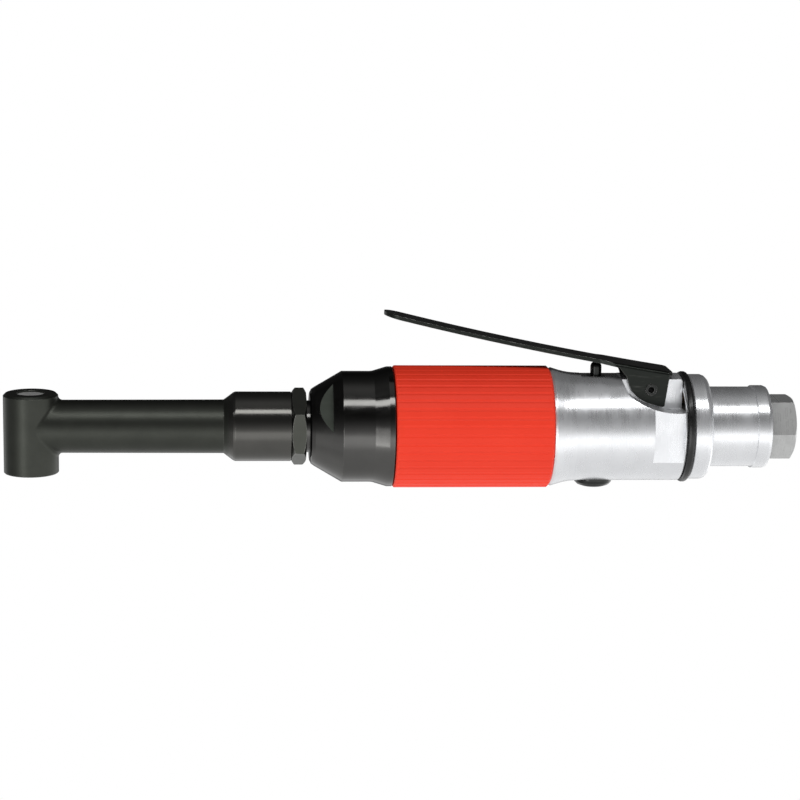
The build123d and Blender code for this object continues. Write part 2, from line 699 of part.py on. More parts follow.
def lever_band():
    """Curved sheet seen from the side, wider than the ears."""
    drop = LEVER_THICKNESS * 1.02
    top = [(LEVER_TIP_X, LEVER_TIP_UP), (LEVER_MID_X, LEVER_MID_UP), (LEVER_REAR_X, LEVER_REAR_UP)]
    upper = [(x, 0, AXIS_Z + up) for x, up in top]
    lower = [(x, y, z - drop) for x, y, z in upper]
    outline = ThreePointArc(*upper) + ThreePointArc(*lower)
    outline += Line(upper[0], lower[0]) + Line(upper[2], lower[2])
    return extrude(make_face(outline), EAR_HALF_WIDTH + 2, dir=(0, 1, 0), both=True)


def lever_plan():
    """Outline of the lever from above: a round tip, straight sides and a wider rear."""
    strip, rear = LEVER_HALF_WIDTH, EAR_HALF_WIDTH
    tip_x = LEVER_TIP_X + 0.2
    rear_x = LEVER_REAR_X - 0.3
    side = [
        (tip_x + strip, strip), (EAR_X - 5, strip), (EAR_X - 0.5, rear), (rear_x - 1.7, rear),
        (rear_x, rear - 2),
    ]
    other_side = [(x, -y) for x, y in reversed(side)]
    outline = ThreePointArc((tip_x + strip, -strip), (tip_x, 0), (tip_x + strip, strip))
    outline += Polyline(*side, *other_side)
    return Plane.XY.offset(AXIS_Z + 10) * make_face(outline)


def is_lever_bend(edge):
    """Whether an edge is the outside of the bend between the web and an ear."""
    middle = edge.position_at(0.5)
    on_face = abs(abs(middle.Y) - EAR_HALF_WIDTH) < 0.01
    return on_face and edge.length > 8 and middle.Z > AXIS_Z + 18


def lever():
    """Pressed sheet lever: a strip with a round tip and two ears on the pin."""
    strip = lever_band() & extrude(lever_plan(), 40)
    ear_outline = (
        (EAR_X, 21.0), (EAR_X + 1.4, 19.0), (183.3, 17.0), (184.0, 14.7), (185.1, 12.3),
        (187.2, 10.25), (190.0, 8.8), (194.6, 7.5), (195.4, 7.85), (LEVER_REAR_X - 1.4, 18.0),
    )
    points = [(x, 0, AXIS_Z + up) for x, up in ear_outline]
    ears = extrude(flat_face(points), EAR_HALF_WIDTH, dir=(0, 1, 0), both=True)
    inner = EAR_HALF_WIDTH - LEVER_THICKNESS
    ears -= block(EAR_X - 5, LEVER_REAR_X + 5, -inner, inner, AXIS_Z, AXIS_Z + 30)
    body = strip + ears
    body = fillet([edge for edge in body.edges() if is_lever_bend(edge)], LEVER_BEND_R)
    return body - lever_pin_blank(LEVER_PIN_R + RUNNING)


# Throttle valve

def valve_sleeve():
    """Seat sleeve of the throttle valve, with a port towards the motor."""
    sleeve = post(VALVE_X, AXIS_Z + VALVE_SEAT_UP, AXIS_Z + VALVE_SLEEVE_TOP_UP, VALVE_BORE_R)
    sleeve -= post(VALVE_X, AXIS_Z + VALVE_SEAT_UP, AXIS_Z + 8.0, 2.7)
    sleeve -= rod(VALVE_X - 6, VALVE_X, 1.8, 0, PORT_UP - 0.5)
    return sleeve - post(VALVE_X, AXIS_Z, AXIS_Z + 20, STEM_R + RUNNING)


def throttle_plunger():
    """Stem with a domed tip and a poppet head."""
    stem = post(VALVE_X, AXIS_Z + POPPET_TOP_UP, AXIS_Z + STEM_TOP_UP - STEM_R, STEM_R)
    stem += Pos(VALVE_X, 0, AXIS_Z + STEM_TOP_UP - STEM_R) * Sphere(STEM_R)
    return stem + post(VALVE_X, AXIS_Z + POPPET_BOTTOM_UP, AXIS_Z + POPPET_TOP_UP, POPPET_R)


def poppet_seal():
    """Rubber washer on the poppet."""
    low, high = AXIS_Z + POPPET_TOP_UP, AXIS_Z + VALVE_SEAT_UP - 0.2
    return post(VALVE_X, low, high, POPPET_R) - post(VALVE_X, low, high, STEM_R)


def plunger_guide():
    """Bush round the stem at the top of the handle."""
    low = AXIS_Z + GUIDE_BOTTOM_UP
    guide = post(VALVE_X, low, AXIS_Z + GUIDE_TOP_UP, GUIDE_R)
    return guide - post(VALVE_X, low, AXIS_Z + GUIDE_TOP_UP, STEM_R + RUNNING)


def valve_spring():
    """Coil spring under the poppet."""
    low = AXIS_Z + PLUG_TOP_UP + SPRING_WIRE_R
    height = POPPET_BOTTOM_UP - PLUG_TOP_UP - 2 * SPRING_WIRE_R
    coil = Pos(VALVE_X, 0, low) * Helix(height / SPRING_TURNS, height, SPRING_R)
    section = Plane(coil @ 0, z_dir=coil % 0) * Circle(SPRING_WIRE_R)
    return sweep(section, path=coil, is_frenet=True)


def valve_plug():
    """Screw plug that closes the valve bore from below."""
    plug = upright(
        (0, PLUG_BOTTOM_UP), (3.6, PLUG_BOTTOM_UP), (5.0, PLUG_BOTTOM_UP + 0.5),
        (5.8, PLUG_BOTTOM_UP + 1.3), (PLUG_R, PLUG_BOTTOM_UP + 2.3), (PLUG_R, PLUG_SEAT_UP),
        (VALVE_BORE_R, PLUG_SEAT_UP), (VALVE_BORE_R, PLUG_TOP_UP), (0, PLUG_TOP_UP),
        x=VALVE_X, base=AXIS_Z,
    )
    plug -= upright(
        (VALVE_BORE_R - 0.8, PLUG_SEAT_UP + 1.2), (VALVE_BORE_R, PLUG_SEAT_UP + 1.2),
        (VALVE_BORE_R, PLUG_SEAT_UP + 2.8), (VALVE_BORE_R - 0.8, PLUG_SEAT_UP + 2.8),
        x=VALVE_X, base=AXIS_Z,
    )
    socket = Plane.XY.offset(AXIS_Z + PLUG_BOTTOM_UP) * Pos(VALVE_X, 0) * RegularPolygon(2.9, 6)
    return plug - extrude(socket, 2.6)


def plug_seal():
    """O-ring in the plug's groove."""
    up = AXIS_Z + PLUG_SEAT_UP + 2.0
    ring = Pos(VALVE_X, 0, up) * Torus(VALVE_BORE_R - 0.4, 0.75)
    keep = post(VALVE_X, up - 0.8, up + 0.8, VALVE_BORE_R)
    return (ring & keep) - post(VALVE_X, up - 1, up + 1, VALVE_BORE_R - 0.8)


# Exhaust cap and air inlet

def cap_seal():
    """Rubber ring between the handle and the exhaust cap."""
    soft = 0.7
    return turned(
        (SEAL_X, 14.5), (SEAL_X, SEAL_R - soft), (SEAL_X + 0.25, SEAL_R - 0.2),
        (SEAL_X + soft, SEAL_R), (SEAL_END_X - soft, SEAL_R), (SEAL_END_X - 0.25, SEAL_R - 0.2),
        (SEAL_END_X, SEAL_R - soft), (SEAL_END_X, 14.5),
    )


def exhaust_cap():
    """Cap with a flange, a rear barrel and a ring of exhaust ports."""
    cap = turned(
        (HANDLE_END_X + 0.1, 13.5), (HANDLE_END_X + 0.1, 14.5), (FLANGE_X, 14.5),
        (FLANGE_X, FLANGE_R - 0.3), (FLANGE_X + 0.3, FLANGE_R), (FLANGE_END_X - 1.9, FLANGE_R),
        (FLANGE_END_X - 0.9, FLANGE_R - 0.35), (FLANGE_END_X - 0.25, FLANGE_R - 1.0),
        (FLANGE_END_X, FLANGE_R - 1.7), (FLANGE_END_X, CAP_R), (RIM_X, CAP_R),
        (RIM_X + 0.15, RIM_R), (CAP_END_X - 1.2, RIM_R), (CAP_END_X - 0.35, RIM_R - 0.35),
        (CAP_END_X, RIM_R - 1.2), (CAP_END_X, INLET_SHANK_R), (CAP_END_X - 3.5, INLET_SHANK_R),
        (CAP_END_X - 3.5, 10.6), (FLANGE_END_X - 1.7, 10.6), (FLANGE_END_X - 1.7, 15.2),
        (FLANGE_X + 0.2, 15.2), (FLANGE_X + 0.2, 13.5),
    )
    for index in range(EXHAUST_PORTS):
        y, up = polar(EXHAUST_PORT_ORBIT_R, 360 * (index + 0.5) / EXHAUST_PORTS)
        cap -= rod(FLANGE_END_X - 2, FLANGE_END_X, EXHAUST_PORT_R, y, up)
    return cap


def muffler_ring():
    """Porous ring in the exhaust cap."""
    start_x = FLANGE_X + 0.4
    end_x = FLANGE_END_X - 1.9
    return rod(start_x, end_x, 15.0) - rod(start_x, end_x, INLET_SHANK_R + 0.2)


def inlet_bushing():
    """Hexagonal inlet with a tapered pipe thread, screwed into the handle."""
    bushing = chamfered_hex(CAP_END_X, INLET_END_X, INLET_HEX_R, 4.3, ("rear",))
    bushing += rod(INLET_SHANK_X, CAP_END_X, INLET_SHANK_R)
    bushing -= rod(INLET_SHANK_X, INLET_THREAD_X, INLET_PASSAGE_R)
    bushing -= rod(INLET_THREAD_X - SCREEN_THICKNESS, INLET_THREAD_X, SCREEN_R)
    return bushing - rod(INLET_THREAD_X, INLET_END_X, INLET_THREAD_R)


def inlet_screen():
    """Perforated disc under the inlet thread."""
    start_x = INLET_THREAD_X - SCREEN_THICKNESS
    screen = rod(start_x, INLET_THREAD_X, SCREEN_R)
    for orbit_r, count in ((0.0, 1), (1.5, 6), (3.0, 12)):
        for index in range(count):
            y, up = polar(orbit_r, 360 * index / count)
            screen -= rod(start_x, INLET_THREAD_X, 0.5, y, up)
    return screen


def bearing_nodes():
    """Races and balls of every ball bearing, by node name."""
    seats = {
        "spindle_bearing": (Plane.XY.offset(RETAINER_TOP_Z), SPINDLE_R, 7.0, 4.0),
        "pinion_bearing": (across(PINION_HUB_END_X), SHAFT_R, NECK_BORE_R, 5.0),
        "carrier_bearing": (across(CARRIER_BEARING_X), SPINDLE_R, 8.0, 5.0),
        "front_rotor_bearing": (
            across(FRONT_BEARING_X), FRONT_JOURNAL_R, FRONT_BEARING_R, 5.0
        ),
        "rear_rotor_bearing": (across(REAR_BEARING_X), SHAFT_R, REAR_BEARING_R, 5.0),
    }
    nodes = {}
    for name, seat in seats.items():
        outer_race, inner_race, balls = ball_bearing(*seat)
        nodes[name + "_outer"] = outer_race
        nodes[name + "_inner"] = inner_race
        nodes[name + "_balls"] = balls
    return nodes


def all_nodes():
    """Every sub-part by node name."""
    nodes = {
        "angle_head_housing": angle_head_housing(),
        "spindle_top_bush": spindle_top_bush(),
        "spindle_retainer": spindle_retainer(),
        "output_spindle": output_spindle(),
        "spindle_bevel_gear": spindle_bevel_gear(),
        "bevel_pinion": bevel_pinion(),
        "pinion_shaft": pinion_shaft(),
        "neck_bush": neck_bush(),
        "jam_nut": jam_nut(),
        "gear_housing": gear_housing(),
        "ring_gear": ring_gear(),
        "planet_carrier": planet_carrier(),
        "planet_pins": planet_pins(),
        "sun_pinion": sun_pinion(),
        "front_end_plate": front_end_plate(),
        "rear_end_plate": rear_end_plate(),
        "motor_cylinder": motor_cylinder(),
        "rotor": rotor(),
        "rotor_vanes": rotor_vanes(),
        "motor_dowel": dowel(),
        "motor_washer": motor_washer(),
        "motor_housing": motor_housing(),
        "grip_sleeve": grip_sleeve(),
        "lever": lever(),
        "lever_pin": lever_pin(),
        "valve_sleeve": valve_sleeve(),
        "throttle_plunger": throttle_plunger(),
        "poppet_seal": poppet_seal(),
        "plunger_guide": plunger_guide(),
        "valve_spring": valve_spring(),
        "valve_plug": valve_plug(),
        "plug_seal": plug_seal(),
        "cap_seal": cap_seal(),
        "exhaust_cap": exhaust_cap(),
        "muffler_ring": muffler_ring(),
        "inlet_bushing": inlet_bushing(),
        "inlet_screen": inlet_screen(),
    }
    for index in range(PLANET_COUNT):
        nodes[f"planet_gear_{index + 1}"] = planet_gear(index)
    nodes.update(bearing_nodes())
    return nodes


os.makedirs("parts", exist_ok=True)
for node_name, shape in all_nodes().items():
    export_step(shape, f"parts/{node_name}.step")
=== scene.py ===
"""Looks of a right-angle air drill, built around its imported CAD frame. Metres, row frame."""

from math import cos, pi, radians, sin

import bmesh
import bpy
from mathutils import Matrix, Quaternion, Vector


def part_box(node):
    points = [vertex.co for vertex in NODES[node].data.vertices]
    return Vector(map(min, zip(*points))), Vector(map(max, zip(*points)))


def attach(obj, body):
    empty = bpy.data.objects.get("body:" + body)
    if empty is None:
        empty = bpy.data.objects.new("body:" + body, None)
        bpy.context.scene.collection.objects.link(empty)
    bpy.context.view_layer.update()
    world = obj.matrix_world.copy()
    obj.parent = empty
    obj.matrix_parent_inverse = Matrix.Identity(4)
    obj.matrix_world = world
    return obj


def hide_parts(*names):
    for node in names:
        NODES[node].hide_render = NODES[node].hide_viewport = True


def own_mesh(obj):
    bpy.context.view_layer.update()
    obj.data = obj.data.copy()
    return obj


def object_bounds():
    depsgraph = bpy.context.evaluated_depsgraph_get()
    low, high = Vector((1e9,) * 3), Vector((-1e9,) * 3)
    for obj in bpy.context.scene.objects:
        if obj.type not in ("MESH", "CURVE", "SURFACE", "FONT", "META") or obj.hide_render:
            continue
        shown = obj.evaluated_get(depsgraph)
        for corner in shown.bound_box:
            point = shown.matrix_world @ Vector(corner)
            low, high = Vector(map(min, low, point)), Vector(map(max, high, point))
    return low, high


MM = 0.001
BEVEL_SAMPLES = 6  # rays that each rounded edge of a material is judged by
NOISE_RANGE = (0.3, 0.7)  # noise seldom leaves this part of 0 to 1
RING_STRETCH = 0.002  # how little a turned ring changes on its way round the part

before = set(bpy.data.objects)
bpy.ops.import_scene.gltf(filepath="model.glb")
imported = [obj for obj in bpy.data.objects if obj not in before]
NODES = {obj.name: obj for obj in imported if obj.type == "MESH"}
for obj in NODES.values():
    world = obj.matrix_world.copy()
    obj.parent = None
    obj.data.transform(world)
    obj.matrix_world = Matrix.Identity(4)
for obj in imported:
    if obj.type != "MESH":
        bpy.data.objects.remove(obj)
CAD_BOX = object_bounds()

# The tool's long axis is level, along X, through the middle of the motor's cylinder.
_low, _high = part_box("motor_cylinder")
AXIS_Z = (_low.z + _high.z) / 2


# ------------------------------------------------------------------ materials

class Paint:
    """A principled material, and short ways to make the nodes that drive it.

    Every pattern is laid out in the object's own coordinates. They are the row frame's at rest,
    and a moving part carries its pattern with it."""

    def __init__(self, name, metallic=0.0, specular=0.5, anisotropic=0.0):
        self.material = bpy.data.materials.new(name)
        self.material.use_nodes = True
        self.tree = self.material.node_tree
        self.tree.nodes.clear()
        output = self.tree.nodes.new("ShaderNodeOutputMaterial")
        self.shader = self.tree.nodes.new("ShaderNodeBsdfPrincipled")
        self.tree.links.new(self.shader.outputs["BSDF"], output.inputs["Surface"])
        for socket, value in (
            ("Metallic", metallic),
            ("Specular IOR Level", specular),
            ("Anisotropic", anisotropic),
        ):
            self.shader.inputs[socket].default_value = value
        self.place = self.tree.nodes.new("ShaderNodeTexCoord").outputs["Object"]

    def link(self, value, socket):
        """Feeds a socket from another one, or sets it to a number or colour."""
        if isinstance(value, bpy.types.NodeSocket):
            self.tree.links.new(value, socket)
        else:
            socket.default_value = value

    def math(self, operation, *values, clamp=False):
        node = self.tree.nodes.new("ShaderNodeMath")
        node.operation = operation
        node.use_clamp = clamp
        for socket, value in zip(node.inputs, values):
            self.link(value, socket)
        return node.outputs[0]

    def times(self, first, second):
        return self.math("MULTIPLY", first, second)

    def remap(self, value, low, high, to_low=0.0, to_high=1.0, smooth=False):
        node = self.tree.nodes.new("ShaderNodeMapRange")
        node.interpolation_type = "SMOOTHSTEP" if smooth else "LINEAR"
        for name, number in (
            ("Value", value), ("From Min", low), ("From Max", high),
            ("To Min", to_low), ("To Max", to_high),
        ):
            self.link(number, node.inputs[name])
        return node.outputs["Result"]

    def spread(self, noise, low, high):
        """Noise turned into values that run from low to high."""
        return self.remap(noise, *NOISE_RANGE, low, high)

    def stretched(self, stretch, shift=(0, 0, 0)):
        """The object's coordinates, scaled along each axis and moved."""
        node = self.tree.nodes.new("ShaderNodeMapping")
        self.link(self.place, node.inputs["Vector"])
        node.inputs["Scale"].default_value = stretch
        node.inputs["Location"].default_value = shift
        return node.outputs["Vector"]

    def noise(self, size, detail=3.0, roughness=0.55, stretch=(1, 1, 1), shift=(0, 0, 0)):
        """Soft random values from 0 to 1 with lumps of about this size, in metres."""
        node = self.tree.nodes.new("ShaderNodeTexNoise")
        self.link(self.stretched([s / size for s in stretch], shift), node.inputs["Vector"])
        node.inputs["Scale"].default_value = 1.0
        node.inputs["Detail"].default_value = detail
        node.inputs["Roughness"].default_value = roughness
        return node.outputs["Fac"]

    def cells(self, size):
        """Distance to the nearest of scattered points about this far apart, in metres."""
        node = self.tree.nodes.new("ShaderNodeTexVoronoi")
        self.link(self.stretched([1 / size] * 3), node.inputs["Vector"])
        node.inputs["Scale"].default_value = 1.0
        return node.outputs["Distance"]

    def axis(self, letter):
        node = self.tree.nodes.new("ShaderNodeSeparateXYZ")
        self.link(self.place, node.inputs[0])
        return node.outputs[letter.upper()]

    def rings(self, pitch, along="X"):
        """Lines left by a turning tool: values that change only along the turned axis."""
        stretch = [1 if letter == along else RING_STRETCH for letter in "XYZ"]
        return self.noise(pitch, detail=2.0, roughness=0.7, stretch=stretch)

    def rounded(self, radius):
        """Normals of a skin whose edges are rounded by this radius."""
        bevel = self.tree.nodes.new("ShaderNodeBevel")
        bevel.samples = BEVEL_SAMPLES
        bevel.inputs["Radius"].default_value = radius
        return bevel.outputs[0]

    def edges(self, radius, low=0.002, high=0.10):
        """1 along sharp edges and 0 on flat or gently curved skin."""
        geometry = self.tree.nodes.new("ShaderNodeNewGeometry")
        dot = self.tree.nodes.new("ShaderNodeVectorMath")
        dot.operation = "DOT_PRODUCT"
        self.link(self.rounded(radius), dot.inputs[0])
        self.link(geometry.outputs["Normal"], dot.inputs[1])
        turned_away = self.math("SUBTRACT", 1.0, dot.outputs["Value"])
        return self.remap(turned_away, low, high, smooth=True)

    def rubbed(self, radius, patch, low, high):
        """Edges worn bare in patches of about this size; low and high are the noise limits."""
        return self.times(self.edges(radius), self.remap(self.noise(patch), low, high))

    def mix(self, amount, first, second):
        node = self.tree.nodes.new("ShaderNodeMix")
        node.data_type = "RGBA"
        colours = [s for s in node.inputs if s.type == "RGBA"]
        self.link(amount, node.inputs["Factor"])
        for value, socket in ((first, colours[0]), (second, colours[1])):
            self.link((*value, 1.0) if isinstance(value, tuple) else value, socket)
        return [s for s in node.outputs if s.type == "RGBA"][0]

    def blend_values(self, amount, first, second):
        """What mix does, for numbers."""
        return self.remap(amount, 0.0, 1.0, first, second)

    def bump(self, height, depth, below=None, round_edges=None):
        """A relief whose full height is depth, in metres, over the one below it.

        With round_edges, it lies over the bare skin with its edges rounded by that radius."""
        node = self.tree.nodes.new("ShaderNodeBump")
        node.inputs["Strength"].default_value = 1.0
        node.inputs["Distance"].default_value = depth
        self.link(height, node.inputs["Height"])
        if round_edges is not None:
            below = self.rounded(round_edges)
        if below is not None:
            self.link(below, node.inputs["Normal"])
        return node.outputs["Normal"]

    def finish(self, colour, roughness, normal=None):
        self.link(colour, self.shader.inputs["Base Color"])
        self.link(roughness, self.shader.inputs["Roughness"])
        if normal is not None:
            self.link(normal, self.shader.inputs["Normal"])
        return self.material


# Where the dull skin of the neck gives way to the polished threaded collar.
POLISH_START_X = 59.6 * MM
POLISH_FULL_X = 61.6 * MM


def black_oxide():
    """Matte black oxide on the angle head and its neck, polished on the threaded collar."""
    p = Paint("black_oxide_skin", metallic=0.86, specular=0.4)
    polished = p.remap(p.axis("x"), POLISH_START_X, POLISH_FULL_X, smooth=True)
    cloud = p.noise(6 * MM, detail=4.0)
    grain = p.noise(0.22 * MM, detail=2.0)
    worn = p.rubbed(0.35 * MM, 1.6 * MM, 0.35, 0.65)
    matte = p.mix(cloud, (0.038, 0.041, 0.035), (0.058, 0.061, 0.053))
    glossy = p.mix(cloud, (0.078, 0.077, 0.072), (0.105, 0.103, 0.096))
    colour = p.mix(polished, matte, glossy)
    colour = p.mix(p.times(worn, 0.55), colour, (0.24, 0.24, 0.225))
    rough = p.blend_values(polished, 0.40, 0.15)
    rough = p.math("ADD", rough, p.spread(grain, -0.04, 0.04))
    relief = p.bump(grain, 5e-6, round_edges=0.25 * MM)
    relief = p.bump(p.times(p.rings(0.35 * MM), polished), 1.6e-6, below=relief)
    return p.finish(colour, rough, relief)


# The spanner flats milled across the nose: the angle that they face, their distance from the
# axis, and where they end.
FLAT_ANGLE = radians(35.7)
FLAT_DISTANCE = 13.1 * MM
FLAT_END_X = 92.5 * MM
FLAT_TOLERANCE = 0.04 * MM


def on_nose_flat(p):
    """1 on the two flats of the nose and 0 elsewhere."""
    across = p.times(p.axis("y"), -cos(FLAT_ANGLE))
    up = p.times(p.math("SUBTRACT", p.axis("z"), AXIS_Z), sin(FLAT_ANGLE))
    distance = p.math("ABSOLUTE", p.math("ADD", across, up))
    near = p.math("COMPARE", distance, FLAT_DISTANCE, FLAT_TOLERANCE)
    return p.times(near, p.math("LESS_THAN", p.axis("x"), FLAT_END_X))


def glossy_black(name, tint=(0.082, 0.081, 0.078), gloss=0.13, ring_depth=1.4e-6, wear=0.6,
                 metallic=0.97, grain_depth=1.2e-6, milled=False):
    """Smooth blackened steel, turned, with bare metal showing at its corners.

    A milled one has duller flats on the nose."""
    p = Paint(name, metallic=metallic, specular=0.4)
    cloud = p.noise(9 * MM, detail=4.0)
    smear = p.noise(2.2 * MM, detail=4.0, stretch=(0.35, 1, 1))
    worn = p.rubbed(0.3 * MM, 1.2 * MM, 0.35, 0.62)
    colour = p.mix(cloud, tint, tuple(c * 1.35 for c in tint))
    colour = p.mix(p.times(worn, wear), colour, (0.30, 0.295, 0.285))
    rough = p.spread(smear, gloss - 0.03, gloss + 0.05)
    if milled:
        flat = on_nose_flat(p)
        dull = p.mix(smear, (0.030, 0.034, 0.029), (0.052, 0.058, 0.050))
        colour = p.mix(flat, colour, dull)
        rough = p.blend_values(flat, rough, 0.52)
    relief = p.bump(p.noise(0.3 * MM, detail=2.0), grain_depth, round_edges=0.2 * MM)
    relief = p.bump(p.rings(0.3 * MM), ring_depth, below=relief)
    return p.finish(colour, rough, relief)


def lever_black():
    """Pressed sheet, blackened and oiled, scuffed lengthways and rubbed bright at its edges."""
    p = Paint("lever_skin", metallic=0.85, specular=0.4)
    cloud = p.noise(5 * MM, detail=4.0)
    scuff = p.remap(p.noise(0.9 * MM, detail=5.0, stretch=(0.15, 1, 1)), 0.58, 0.78)
    worn = p.rubbed(0.25 * MM, 1.5 * MM, 0.3, 0.6)
    colour = p.mix(cloud, (0.013, 0.015, 0.013), (0.026, 0.029, 0.026))
    colour = p.mix(p.times(scuff, 0.25), colour, (0.16, 0.16, 0.15))
    colour = p.mix(p.times(worn, 0.7), colour, (0.33, 0.33, 0.32))
    rough = p.spread(cloud, 0.26, 0.36)
    relief = p.bump(p.noise(0.25 * MM, detail=3.0), 3e-6, round_edges=0.18 * MM)
    relief = p.bump(p.noise(14 * MM, detail=1.0), 4e-5, below=relief)
    return p.finish(colour, rough, relief)


def aluminium(name, tone=(0.80, 0.81, 0.83), gloss=0.28, ring_depth=2.0e-6, blast=1.6e-6,
              metallic=0.74):
    """Turned and tumbled aluminium, with faint rings, soft waves and handling marks."""
    p = Paint(name, metallic=metallic, specular=0.5, anisotropic=0.2)
    cloud = p.noise(7 * MM, detail=5.0)
    streak = p.rings(0.5 * MM)
    smear = p.noise(3.5 * MM, detail=5.0, stretch=(1, 0.5, 0.5), shift=(3, 1, 2))
    scratch = p.remap(p.noise(0.5 * MM, detail=4.0, stretch=(1, 0.05, 0.05)), 0.62, 0.75)
    worn = p.edges(0.3 * MM)
    light = tuple(min(1.0, c * 1.07) for c in tone)
    dark = tuple(c * 0.90 for c in tone)
    colour = p.mix(cloud, dark, light)
    colour = p.mix(p.times(scratch, 0.12), colour, tuple(c * 0.55 for c in tone))
    colour = p.mix(p.times(worn, 0.35), colour, (0.93, 0.93, 0.94))
    rough = p.spread(smear, gloss - 0.05, gloss + 0.07)
    rough = p.math("ADD", rough, p.spread(streak, -0.03, 0.03))
    relief = p.bump(p.noise(0.35 * MM, detail=3.0), blast, round_edges=0.2 * MM)
    relief = p.bump(streak, ring_depth, below=relief)
    relief = p.bump(p.noise(3.0 * MM, detail=3.0), 1.2e-5, below=relief)
    return p.finish(colour, rough, relief)


def bright_steel(name, tone=(0.60, 0.60, 0.60), gloss=0.18, along="X", ring_depth=1.5e-6,
                 metallic=1.0):
    """Ground steel, with grinding lines round the axis given and a trace of oil."""
    p = Paint(name, metallic=metallic, anisotropic=0.3)
    cloud = p.noise(5 * MM, detail=4.0)
    line = p.rings(0.16 * MM, along=along)
    worn = p.edges(0.2 * MM)
    oil = p.remap(p.noise(2.5 * MM, detail=4.0, shift=(5, 2, 7)), 0.45, 0.7)
    light = tuple(min(1.0, c * 1.08) for c in tone)
    colour = p.mix(cloud, tuple(c * 0.86 for c in tone), light)
    colour = p.mix(p.times(oil, 0.25), colour, tuple(c * 0.6 for c in tone))
    colour = p.mix(p.times(worn, 0.4), colour, (0.82, 0.82, 0.82))
    rough = p.math("ADD", p.spread(line, gloss - 0.04, gloss + 0.06),
                   p.remap(oil, 0.0, 1.0, 0.0, 0.06))
    relief = p.bump(line, ring_depth, round_edges=0.15 * MM)
    return p.finish(colour, rough, relief)


def red_grip():
    """Moulded red sleeve: fine grain, small dark specks, paler along the edges of its ribs."""
    p = Paint("red_grip_skin", specular=0.22)
    cloud = p.noise(11 * MM, detail=4.0)
    grain = p.noise(0.28 * MM, detail=3.0)
    speck = p.remap(p.cells(0.8 * MM), 0.0, 0.12, 1.0, 0.0)
    worn = p.edges(0.3 * MM)
    colour = p.mix(cloud, (0.91, 0.044, 0.018), (0.97, 0.056, 0.024))
    colour = p.mix(p.times(speck, 0.10), colour, (0.70, 0.022, 0.012))
    colour = p.mix(p.times(worn, 0.25), colour, (0.95, 0.09, 0.05))
    rough = p.spread(grain, 0.44, 0.58)
    return p.finish(colour, rough, p.bump(grain, 1.1e-5))


def rubber():
    """Black nitrile rubber, with a fine grain and a slight bloom."""
    p = Paint("rubber_skin", specular=0.45)
    bloom = p.noise(1.5 * MM, detail=4.0)
    grain = p.noise(0.15 * MM, detail=2.0)
    colour = p.mix(bloom, (0.006, 0.006, 0.006), (0.013, 0.013, 0.013))
    rough = p.spread(bloom, 0.22, 0.34)
    return p.finish(colour, rough, p.bump(grain, 4e-6))


def bronze():
    """Porous oil-soaked bronze, as bushes are made from, its pores painted dark as painted
    shade.
    """
    p = Paint("bronze_skin", metallic=1.0)
    pore = p.remap(p.cells(0.22 * MM), 0.05, 0.30)
    cloud = p.noise(2 * MM, detail=4.0)
    colour = p.mix(cloud, (0.50, 0.27, 0.10), (0.62, 0.37, 0.16))
    # The pores are painted dark: painted shade in the pits.
    colour = p.mix(pore, (0.20, 0.10, 0.04), colour)
    rough = p.spread(cloud, 0.28, 0.42)
    return p.finish(colour, rough, p.bump(pore, 1.2e-5, round_edges=0.1 * MM))


def sintered_bronze():
    """Packed bronze granules of a silencer ring, their gaps painted dark as painted shade."""
    p = Paint("sintered_skin", metallic=1.0)
    bead = p.cells(0.55 * MM)
    # Darker from the middle of each granule out to the gaps between them: painted shade.
    colour = p.mix(p.remap(bead, 0.1, 0.6), (0.55, 0.38, 0.20), (0.12, 0.07, 0.03))
    rough = p.spread(p.noise(0.5 * MM), 0.35, 0.55)
    return p.finish(colour, rough, p.bump(p.remap(bead, 0.0, 0.7, 1.0, 0.0), 1.6e-4))


def vane_composite():
    """Pressed fibre laminate: brown, with thin layers showing."""
    p = Paint("vane_skin", specular=0.4)
    layer = p.noise(0.12 * MM, detail=2.0, stretch=(0.05, 1, 1))
    cloud = p.noise(3 * MM, detail=4.0)
    colour = p.mix(layer, (0.10, 0.045, 0.018), (0.19, 0.09, 0.035))
    rough = p.spread(cloud, 0.42, 0.6)
    return p.finish(colour, rough, p.bump(layer, 8e-6))


BLACK_OXIDE = black_oxide()
GLOSSY_BLACK = glossy_black("turned_black_skin", milled=True)
NUT_BLACK = glossy_black("nut_black_skin", tint=(0.052, 0.054, 0.047), gloss=0.30, wear=1.0,
                         metallic=0.9, grain_depth=3e-6)
PIN_BLACK = glossy_black("pin_black_skin", tint=(0.026, 0.027, 0.026), gloss=0.22, wear=0.7)
PLUG_BLACK = glossy_black("plug_black_skin", tint=(0.034, 0.035, 0.034), gloss=0.16, wear=0.8)
LEVER_BLACK = lever_black()
HANDLE = aluminium("handle_skin")
REAR_CAP = aluminium("rear_cap_skin", tone=(0.82, 0.83, 0.85), gloss=0.27, ring_depth=3.0e-6,
                     blast=1.2e-6)
END_PLATE = aluminium("end_plate_skin", tone=(0.62, 0.63, 0.65), gloss=0.28)
INLET = bright_steel("inlet_skin", tone=(0.56, 0.565, 0.56), gloss=0.28, metallic=0.55)
TOP_PLUG = bright_steel("top_plug_skin", tone=(0.72, 0.72, 0.71), gloss=0.36, along="Z",
                        metallic=0.45)
BRIGHT = bright_steel("bright_skin")
BRIGHT_UPRIGHT = bright_steel("bright_upright_skin", along="Z")
GEAR = bright_steel("gear_skin", tone=(0.40, 0.40, 0.41), gloss=0.24)
GUIDE = bright_steel("guide_skin", tone=(0.50, 0.50, 0.51), along="Z", gloss=0.2)
SPRING = bright_steel("spring_skin", tone=(0.46, 0.46, 0.47), along="Z", gloss=0.2)
SCREEN = bright_steel("screen_skin", tone=(0.62, 0.60, 0.56), gloss=0.3)
RED_GRIP = red_grip()
RUBBER = rubber()
BRONZE = bronze()
SINTERED = sintered_bronze()
VANE = vane_composite()

